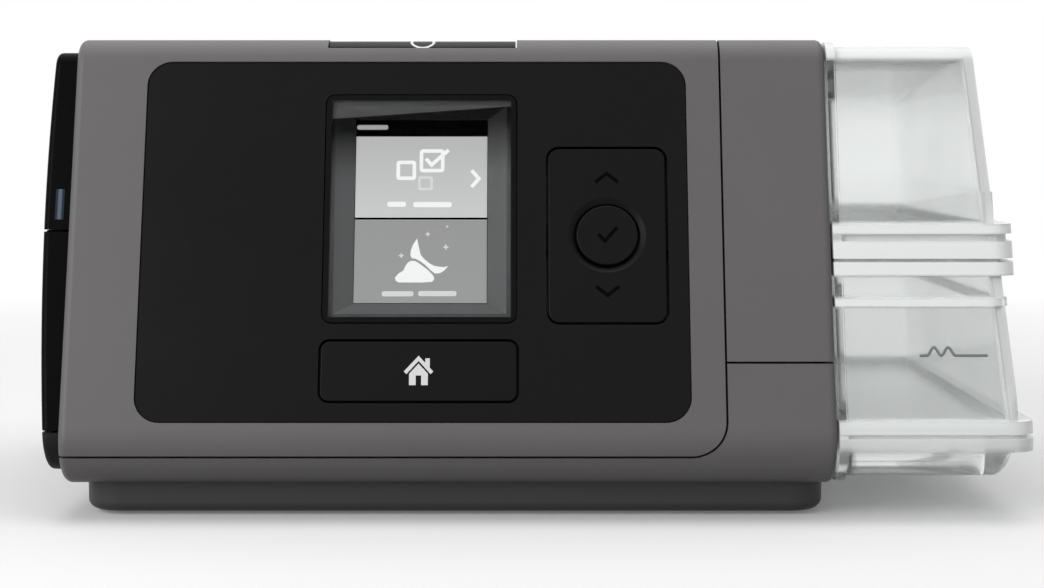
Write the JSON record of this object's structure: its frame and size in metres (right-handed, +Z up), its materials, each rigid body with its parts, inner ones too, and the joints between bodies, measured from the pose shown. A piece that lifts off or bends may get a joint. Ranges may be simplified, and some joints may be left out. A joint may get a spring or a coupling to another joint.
{
  "type": "cpap machine",
  "caption": "Bedside CPAP machine with a leaning control panel, colour screen, push keys, blower, heated humidifier bay and a clear slide-out water tub.",
  "frame": {"origin": "on the table, under the middle of the whole machine's bounding box", "axes": "+X along the front to the water tub, +Y to the back with the hose outlet, +Z up"},
  "size_m": [0.2246, 0.15, 0.1083],
  "materials": {
    "housing": "fine satin texture, warm grey",
    "plinth": "dark grey",
    "black_gloss": "piano black",
    "black_keys": "satin black",
    "lcd_frame": "grey bevel",
    "lcd_clear": "clear and polished",
    "lcd_display": "display with a grey picture",
    "tub_clear": "clear and polished",
    "light_blue": "lit from behind",
    "rubber_black": "matt",
    "silicone": "translucent grey",
    "inner_plastic": "plain mouldings",
    "circuit_board": "green solder mask",
    "ribbon": "flat cable",
    "steel": "plated",
    "laminations": "stacked sheet",
    "heater_metal": "anodised",
    "insulation": "woven mat",
    "filter_mat": "fine white fibre",
    "card_plastic": "plain",
    "white_gasket": "clear silicone"
  },
  "bodies": {
    "base": {"base_plate": "plinth", "rubber_feet": "rubber_black", "base_screws": "steel", "lower_case": "housing", "main_cover": "housing", "humidifier_cover": "housing", "control_panel": "black_gloss", "lcd_bezel": "lcd_frame", "lcd_window": "lcd_clear", "lcd_module": "lcd_display", "key_membrane": "silicone", "interface_board": "circuit_board", "main_board": "circuit_board", "board_spacers": "steel", "board_screws": "steel", "ribbon_cable": "ribbon", "start_switch": "circuit_board", "side_panel": "black_gloss", "side_foot": "plinth", "sd_cover_pin": "steel", "sd_card_reader": "inner_plastic", "bay_liner": "inner_plastic", "port_seals": "silicone", "heater_plate": "heater_metal", "heater_insulation": "insulation", "blower_base": "inner_plastic", "blower_cover": "inner_plastic", "motor_cap": "inner_plastic", "motor_bearings": "steel", "motor_stator": "laminations", "blower_mounts": "rubber_black", "inlet_sleeve": "rubber_black", "inlet_muffler": "inner_plastic", "air_filter": "filter_mat", "filter_cover_pin": "steel", "flow_duct": "inner_plastic", "outlet_elbow": "inner_plastic", "outlet_seal": "rubber_black", "power_inlet": "black_keys", "clip_pin": "steel"},
    "start_key": {"start_button": "black_gloss"},
    "home_key": {"home_button": "black_keys"},
    "ok_key": {"ok_button": "black_keys"},
    "rocker": {"rocker_key": "black_keys"},
    "adapter_panel": {"adapter_cover": "black_gloss", "status_light": "light_blue"},
    "card_door": {"sd_card_cover": "black_gloss"},
    "card": {"sd_card": "card_plastic"},
    "filter_door": {"filter_cover": "black_keys"},
    "clip": {"retention_clip": "black_keys"},
    "outlet": {"air_outlet": "black_keys"},
    "rotor": {"motor_rotor": "steel", "impeller": "card_plastic"},
    "water_tub": {"tub_base": "tub_clear", "tub_lid": "tub_clear", "tub_seal": "white_gasket", "tub_heater_plate": "heater_metal", "tub_baffle": "tub_clear", "tub_hinge_pin": "steel"}
  },
  "joints": [
    {"name": "start_push", "type": "slide", "parent": "base", "child": "start_key", "axis": [0, 0, -1], "range_m": [0, 0.001], "stiffness_N_per_m": 600},
    {"name": "home_push", "type": "slide", "parent": "base", "child": "home_key", "axis": [0, 0.9511, -0.309], "range_m": [0, 0.0006], "stiffness_N_per_m": 600},
    {"name": "ok_push", "type": "slide", "parent": "base", "child": "ok_key", "axis": [0, 0.9511, -0.309], "range_m": [0, 0.0006], "stiffness_N_per_m": 600},
    {"name": "rocker_tilt", "type": "hinge", "parent": "base", "child": "rocker", "pos_m": [0.0164, -0.05901, 0.06319], "axis": [1, 0, 0], "range_deg": [-1.6, 1.6], "stiffness_Nm_per_rad": 0.9},
    {"name": "adapter_panel_off", "type": "slide", "parent": "base", "child": "adapter_panel", "axis": [-1, 0, 0], "range_m": [0, 0.03]},
    {"name": "card_door_swing", "type": "hinge", "parent": "base", "child": "card_door", "pos_m": [-0.10962, -0.041, 0.0282], "axis": [0, -1, 0], "range_deg": [0, 90]},
    {"name": "card_push", "type": "slide", "parent": "base", "child": "card", "axis": [1, 0, 0], "range_m": [0, 0.001], "stiffness_N_per_m": 500},
    {"name": "filter_door_swing", "type": "hinge", "parent": "base", "child": "filter_door", "pos_m": [-0.0989, 0.0589, 0.07225], "axis": [0, 0, 1], "range_deg": [0, 95]},
    {"name": "clip_swing", "type": "hinge", "parent": "base", "child": "clip", "pos_m": [-0.043, 0.0626, 0.043], "axis": [1, 0, 0], "range_deg": [0, 130]},
    {"name": "outlet_off", "type": "slide", "parent": "base", "child": "outlet", "axis": [0, 1, 0], "range_m": [0, 0.03]},
    {"name": "rotor_spin", "type": "hinge", "parent": "base", "child": "rotor", "pos_m": [-0.0735, 0.006, 0.046], "axis": [0, 0, 1], "continuous": true},
    {"name": "tub_slide", "type": "slide", "parent": "base", "child": "water_tub", "axis": [1, 0, 0], "range_m": [0, 0.14]}
  ]
}
